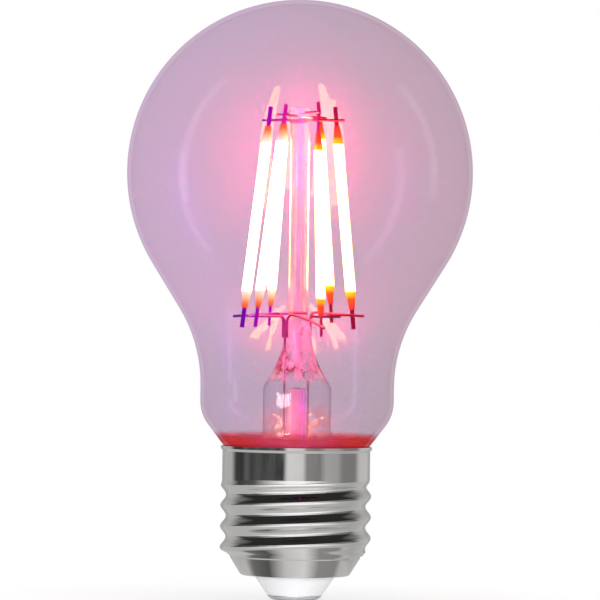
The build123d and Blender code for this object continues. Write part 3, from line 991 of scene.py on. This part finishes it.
@dataclass
class ScrewCap:
    """Nickel shell with its white insulator, tip contact and cement."""

    shell: str = "screw_shell"
    insulator: str = "tip_insulator"
    contact: str = "tip_contact"
    cement: str = "capping_cement"

    def build(self) -> None:
        """Dress the cap."""
        dress(NICKEL, self.shell)
        dress(INSULATOR, self.insulator)
        dress(CONTACT, self.contact)
        dress(CEMENT, self.cement)


@dataclass
class Driver:
    """Board in the cap and what it carries."""

    supply_wires: Tuple[str, ...] = ("live_wire", "neutral_wire")
    turns: float = 9.0
    turn_points: int = 32
    wire_sides: int = 10
    copper_radius: float = 0.17 * MM
    solder_radius: float = 0.55 * MM
    solder_flatness: float = 0.6
    solder_roundness: int = 3

    def build(self) -> None:
        """Dress the board, wind the choke and set the solder."""
        dress(LAMINATE, "driver_board")
        dress(EPOXY, "driver_chip", "rectifier")
        dress(SLEEVE, "smoothing_capacitor")
        dress(FERRITE, "choke_core")
        dress(LACQUER, "fuse_resistor")
        dress(TINNED, *self.supply_wires)
        self._wind_choke()
        self._solder_wires()

    def _wind_choke(self) -> None:
        """Replace the plain winding by a coil of wire."""
        low, high = (Vector(corner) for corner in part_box("choke_winding"))
        middle = (low + high) / 2
        shape = NodeShape("choke_turns")
        shape.size("Wire radius", self.copper_radius)
        shape.size("Coil radius", (high.x - low.x) / 2 - self.copper_radius)
        shape.size("Coil height", high.z - low.z - 2 * self.copper_radius)
        shape.size("Turns", self.turns)
        given = shape.start()
        inputs = {
            "Resolution": self.turn_points,
            "Rotations": given["Turns"],
            "Start Radius": given["Coil radius"],
            "End Radius": given["Coil radius"],
            "Height": given["Coil height"],
        }
        spiral = shape.kit.node("GeometryNodeCurveSpiral", inputs=inputs)
        inputs = {"Resolution": self.wire_sides, "Radius": given["Wire radius"]}
        ring = shape.kit.node("GeometryNodeCurvePrimitiveCircle", inputs=inputs)
        inputs = {"Curve": spiral.outputs[0], "Profile Curve": ring.outputs[0], "Fill Caps": True}
        coil = shape.kit.node("GeometryNodeCurveToMesh", inputs=inputs)
        foot = (middle.x, middle.y, low.z + self.copper_radius)
        inputs = {"Geometry": coil.outputs[0], "Translation": foot}
        moved = shape.kit.node("GeometryNodeTransform", inputs=inputs)
        shape.close(moved.outputs[0], COPPER)
        piece = shape.run([middle])
        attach(piece, ROOT)
        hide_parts("choke_winding")
        LOG.info("wound %s", piece.name)

    def _solder_wires(self) -> None:
        """Set a flat solder bead on each supply wire where it leaves the board."""
        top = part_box("driver_board")[1][2]
        points = []
        for node in self.supply_wires:
            low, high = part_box(node)
            points.append(Vector(((low[0] + high[0]) / 2, (low[1] + high[1]) / 2, top)))
        shape = NodeShape("board_solder")
        shape.size("Bead radius", self.solder_radius)
        shape.size("Flatness", self.solder_flatness)
        given = shape.start()
        inputs = {"Radius": given["Bead radius"], "Subdivisions": self.solder_roundness}
        ball = shape.kit.node("GeometryNodeMeshIcoSphere", inputs=inputs)
        squash = shape.kit.node("ShaderNodeCombineXYZ", inputs={0: 1.0, 1: 1.0, 2: given["Flatness"]})
        inputs = {"Points": given["Geometry"], "Instance": ball.outputs[0], "Scale": squash.outputs[0]}
        beads = shape.kit.node("GeometryNodeInstanceOnPoints", inputs=inputs)
        shape.close(beads.outputs[0], SOLDER)
        piece = shape.run(points)
        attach(piece, ROOT)
        LOG.info("set %s", piece.name)


def aim(place: Vector, target: Vector) -> Matrix:
    """Stand at a place with local -Z pointing at a target."""
    return Matrix.Translation(place) @ (target - place).to_track_quat("-Z", "Y").to_matrix().to_4x4()


def flag(light: bpy.types.Object, lit: Sequence[str]) -> None:
    """Flag a lamp or a card so that it reaches only some CAD nodes.

    Args:
        light: Lamp or bright card.
        lit: Names of the nodes.
    """
    reach = bpy.data.collections.new(f"{light.name}_reach")
    for node in lit:
        reach.objects.link(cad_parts[node])
    light.light_linking.receiver_collection = reach


@dataclass(frozen=True)
class Lamp:
    """Soft lamp beside the bulb; its radiance is 1 where white is."""

    name: str
    lit: Tuple[str, ...]
    azimuth: float
    distance: float
    width: float
    height: float
    middle: float
    radiance: float
    colour: Colour = WHITE

    def build(self) -> None:
        """Hang the lamp level with its middle, facing the axis."""
        data = bpy.data.lights.new(self.name, "AREA")
        data.shape = "RECTANGLE"
        data.size = self.width
        data.size_y = self.height
        data.energy = self.radiance * pi * self.width * self.height
        data.color = self.colour
        lamp = bpy.data.objects.new(self.name, data)
        lamp.matrix_world = aim(polar(self.distance, self.azimuth, self.middle), Vector((0, 0, self.middle)))
        lamp.visible_camera = False
        bpy.context.scene.collection.objects.link(lamp)
        flag(lamp, self.lit)


@dataclass(frozen=True)
class Card:
    """Paper turned about the axis, which only the cap's reflections show.

    The profile is a radius and a height for each ring. The levels are azimuths and their brightness, nearest
    the cap and further off, with the distances where the further ones start and hold.
    """

    name: str
    lit: Tuple[str, ...]
    upright: bool
    profile: Levels
    near: Levels
    further: Tuple[Tuple[Levels, float, float], ...]
    segments: int = 96
    hidden_from: Tuple[str, ...] = (
        "visible_camera", "visible_diffuse", "visible_shadow", "visible_transmission",
    )

    def build(self) -> None:
        """Turn the card, lay its paper on it and hide it from all but reflections."""
        card = new_object(self.name, self._mesh())
        CardPaper(f"{self.name}_paper", self.near, self.further, self.upright).lay_on(card)
        for way in self.hidden_from:
            setattr(card, way, False)
        flag(card, self.lit)

    def _mesh(self) -> bpy.types.Mesh:
        """Turn the profile about the axis.

        Returns:
            The turned mesh.
        """
        turn = FULL_TURN / self.segments
        steps = range(self.segments)
        vertices = [tuple(polar(radius, turn * step, z)) for radius, z in self.profile for step in steps]
        faces = []
        for row in range(len(self.profile) - 1):
            for step in steps:
                left = row * self.segments + step
                right = row * self.segments + (step + 1) % self.segments
                faces.append((left, right, right + self.segments, left + self.segments))
        mesh = bpy.data.meshes.new(self.name)
        mesh.from_pydata(vertices, [], faces)
        mesh.shade_smooth()
        return mesh


CAP_NODES = ("screw_shell", "tip_insulator", "tip_contact")
WALL_LOW = (
    (-180, 0.85), (-171, 0.85), (-164, 0.45), (-150, 0.45), (-140, 0.56), (-118, 0.55), (-106, 0.06),
    (-90, 0.04), (-82, 0.14), (-72, 0.06), (-60, 0.1), (-50, 0.05), (-36, 0.08), (-28, 0.04), (-19, 0.05),
    (-13, 0.85), (10, 0.76), (16, 0.28), (36, 0.24), (46, 0.47), (66, 0.44), (76, 0.26), (102, 0.25),
    (114, 0.65), (140, 0.65), (150, 0.45), (164, 0.45), (171, 0.85), (180, 0.85),
)
WALL_MIDDLE = (
    (-180, 0.8), (-165, 0.4), (-140, 0.55), (-118, 0.5), (-100, 0.06), (-66, 0.12), (-34, 0.8), (-12, 1.3),
    (12, 1.35), (34, 0.9), (66, 0.3), (102, 0.15), (118, 0.5), (140, 0.55), (165, 0.4), (180, 0.8),
)
WALL_HIGH = ((-180, 0.5), (-150, 0.45), (-104, 0.03), (104, 0.03), (150, 0.45), (180, 0.5))
FLOOR_NEAR = (
    (-180, 0.6), (-84, 0.62), (-68, 0.2), (-38, 0.11), (-13, 0.7), (13, 0.88), (34, 0.33), (64, 0.3),
    (76, 0.62), (180, 0.6),
)
FLOOR_FAR = ((-180, 0.6), (-90, 0.58), (-15, 0.66), (15, 0.7), (90, 0.5), (180, 0.6))
FLOOR_OUTER = (
    (-180, 0.8), (-170, 0.8), (-162, 0.45), (-148, 0.45), (-134, 0.6), (-90, 0.58), (-66, 0.62), (-30, 1.35),
    (30, 1.45), (66, 0.62), (90, 0.52), (134, 0.6), (148, 0.45), (162, 0.45), (170, 0.8), (180, 0.8),
)
WALLS = Card(
    "mirrored_walls",
    CAP_NODES,
    upright=True,
    profile=((0.25, 0.0), (0.25, 0.03), (0.25, 0.06), (0.27, 0.2), (0.25, 0.36), (0.1, 0.45), (0.0001, 0.45)),
    near=WALL_LOW,
    further=((WALL_MIDDLE, 0.026, 0.034), (WALL_HIGH, 0.1, 0.2)),
)
PAPER = Card(
    "mirrored_floor",
    CAP_NODES,
    upright=False,
    profile=((0.25, 0.0002), (0.03, 0.0002), (0.005, 0.0002)),
    near=FLOOR_NEAR,
    further=((FLOOR_FAR, 0.0155, 0.0185), (FLOOR_OUTER, 0.028, 0.04)),
)
COOL: Colour = (0.45, 0.53, 1.0)
LEFT_STRIP = Lamp("left_strip", ("glass_envelope",), -80.0, 0.2, 0.026, 0.3, 0.17, 5.3, COOL)
RIGHT_STRIP = Lamp("right_strip", ("glass_envelope",), 97.0, 0.2, 0.026, 0.22, 0.15, 5.3, COOL)
STEM_WINDOW = Lamp("stem_window", ("stem_flare",), -47.0, 0.2, 0.19, 0.0028, 0.0305, 45.0)
TIP_FILL = Lamp("tip_fill", ("tip_insulator", "tip_contact"), 2.0, 0.4, 0.7, 0.1, 0.055, 4.6)


@dataclass
class Studio:
    """White surround, pale floor, cards that the cap mirrors, soft lamps and the camera."""

    floor_radius: float = 0.6
    floor_sides: int = 96
    frame_height: float = 104.1 * MM
    frame_middle: float = 51.95 * MM
    distance: float = 850.0 * MM
    clip_start: float = 10.0 * MM
    roll: float = 0.75
    pivot: float = 74.0 * MM
    sensor: float = 36.0
    cards: Tuple[Card, ...] = (WALLS, PAPER)
    lamps: Tuple[Lamp, ...] = (LEFT_STRIP, RIGHT_STRIP, STEM_WINDOW, TIP_FILL)

    def build(self) -> None:
        """Set up the whole studio."""
        self._surround()
        self._floor()
        for piece in (*self.cards, *self.lamps):
            piece.build()
        self._camera()

    @staticmethod
    def _surround() -> None:
        """Light the scene from a white world."""
        world = bpy.data.worlds.new("white_surround")
        bpy.context.scene.world = world
        world.use_nodes = True
        world.node_tree.nodes.clear()
        kit = NodeKit(world.node_tree)
        light = kit.node("ShaderNodeBackground", inputs={"Color": WHITE, "Strength": 1.0})
        kit.node("ShaderNodeOutputWorld", inputs={"Surface": light.outputs[0]})

    def _floor(self) -> None:
        """Lay a round pale floor that keeps a soft shadow near the bulb."""
        turn = FULL_TURN / self.floor_sides
        rim = [tuple(polar(self.floor_radius, turn * step, 0.0)) for step in range(self.floor_sides)]
        mesh = bpy.data.meshes.new("floor")
        mesh.from_pydata(rim, [], [tuple(range(self.floor_sides))])
        floor = new_object("floor", mesh)
        FloorPaper("pale_floor").lay_on(floor)

    def _camera(self) -> None:
        """Stand the camera level with the middle of the bulb, rolled as in the photo."""
        data = bpy.data.cameras.new("camera")
        data.sensor_width = self.sensor
        data.lens = self.sensor * self.distance / self.frame_height
        data.clip_start = self.clip_start
        data.shift_x = (self.pivot - self.frame_middle) * tan(radians(self.roll)) / self.frame_height
        camera = bpy.data.objects.new("camera", data)
        look = aim(Vector((0.0, -self.distance, self.frame_middle)), Vector((0.0, 0.0, self.frame_middle)))
        camera.matrix_world = look @ Matrix.Rotation(radians(self.roll), 4, "Z")
        bpy.context.scene.collection.objects.link(camera)
        bpy.context.scene.camera = camera


def main() -> None:
    """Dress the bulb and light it."""
    logging.basicConfig(level=logging.INFO, format="%(name)s: %(message)s")
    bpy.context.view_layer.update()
    for assembly in (Globe(), Stem(), FilamentCage(), ScrewCap(), Driver(), Studio()):
        assembly.build()
        LOG.info("finished %s", type(assembly).__name__)
    bpy.context.scene.view_settings.view_transform = "Standard"


if __name__ == "__main__":
    main()
